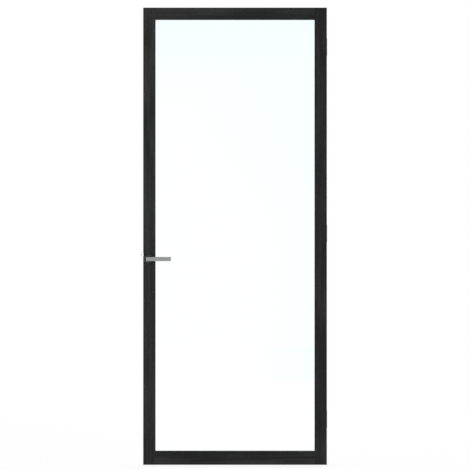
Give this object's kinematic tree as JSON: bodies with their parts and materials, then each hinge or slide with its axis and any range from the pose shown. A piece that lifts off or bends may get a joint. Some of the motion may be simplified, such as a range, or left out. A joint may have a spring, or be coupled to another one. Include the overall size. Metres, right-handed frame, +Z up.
{
  "type": "glass door",
  "caption": "Hinged full-height glass door leaf in a slender dark timber frame, with lever handles, a mortise latch and butt hinges.",
  "frame": {"origin": "middle of the leaf's foot face, at mid thickness", "axes": "+Z up the leaf, +X from the lock side to the hinge side, +Y out of the back face, so the front face with the first handle looks to -Y"},
  "size_m": [0.943, 0.15, 2.315],
  "materials": {
    "timber": "black stained, satin, fine open grain",
    "glass": "clear toughened float",
    "seal": "matt black",
    "lever_metal": "satin brushed",
    "rose_metal": "satin black",
    "hinge_metal": "satin brushed",
    "latch_metal": "bright zinc",
    "case_metal": "zinc plated",
    "forend_metal": "satin brushed",
    "block_plastic": "matt"
  },
  "bodies": {
    "frame_side": {"hinge_1_frame_wing": "hinge_metal", "hinge_1_pin": "hinge_metal", "hinge_2_frame_wing": "hinge_metal", "hinge_2_pin": "hinge_metal", "hinge_3_frame_wing": "hinge_metal", "hinge_3_pin": "hinge_metal"},
    "leaf": {"lock_stile": "timber", "hinge_stile": "timber", "bottom_rail": "timber", "top_rail": "timber", "glass_pane": "glass", "setting_blocks": "block_plastic", "location_blocks": "block_plastic", "forend": "forend_metal", "lock_case": "case_metal", "lock_case_cover": "case_metal", "follower_spring": "case_metal", "front_rose_cover": "rose_metal", "back_rose_cover": "rose_metal", "front_rose_base": "rose_metal", "back_rose_base": "rose_metal", "front_seal_lock_side": "seal", "back_seal_lock_side": "seal", "glazing_bead_lock_side": "timber", "front_seal_hinge_side": "seal", "back_seal_hinge_side": "seal", "glazing_bead_hinge_side": "timber", "front_seal_foot_side": "seal", "back_seal_foot_side": "seal", "glazing_bead_foot_side": "timber", "front_seal_top_side": "seal", "back_seal_top_side": "seal", "glazing_bead_top_side": "timber", "hinge_1_leaf_wing": "hinge_metal", "hinge_2_leaf_wing": "hinge_metal", "hinge_3_leaf_wing": "hinge_metal"},
    "lever": {"front_lever": "lever_metal", "back_lever": "lever_metal", "spindle": "lever_metal", "follower": "case_metal"},
    "latch": {"latch_bolt": "latch_metal"}
  },
  "joints": [
    {"name": "leaf_swing", "type": "hinge", "parent": "frame_side", "child": "leaf", "pos_m": [0.46, 0.028, 0], "axis": [0, 0, -1], "range_deg": [0, 170]},
    {"name": "lever_turn", "type": "hinge", "parent": "leaf", "child": "lever", "pos_m": [-0.44, 0, 1.042], "axis": [0, 1, 0], "range_deg": [0, 30.37], "stiffness_Nm_per_rad": 1.2, "springref_deg": -28.65, "deforming": ["follower_spring"]},
    {"name": "latch_slide", "type": "slide", "parent": "leaf", "child": "latch", "axis": [1, 0, 0], "range_m": [0, 0.011]}
  ],
  "couplings": [
    {"joint": "latch_slide", "follows": "lever_turn", "m_per_rad": 0.020755}
  ]
}
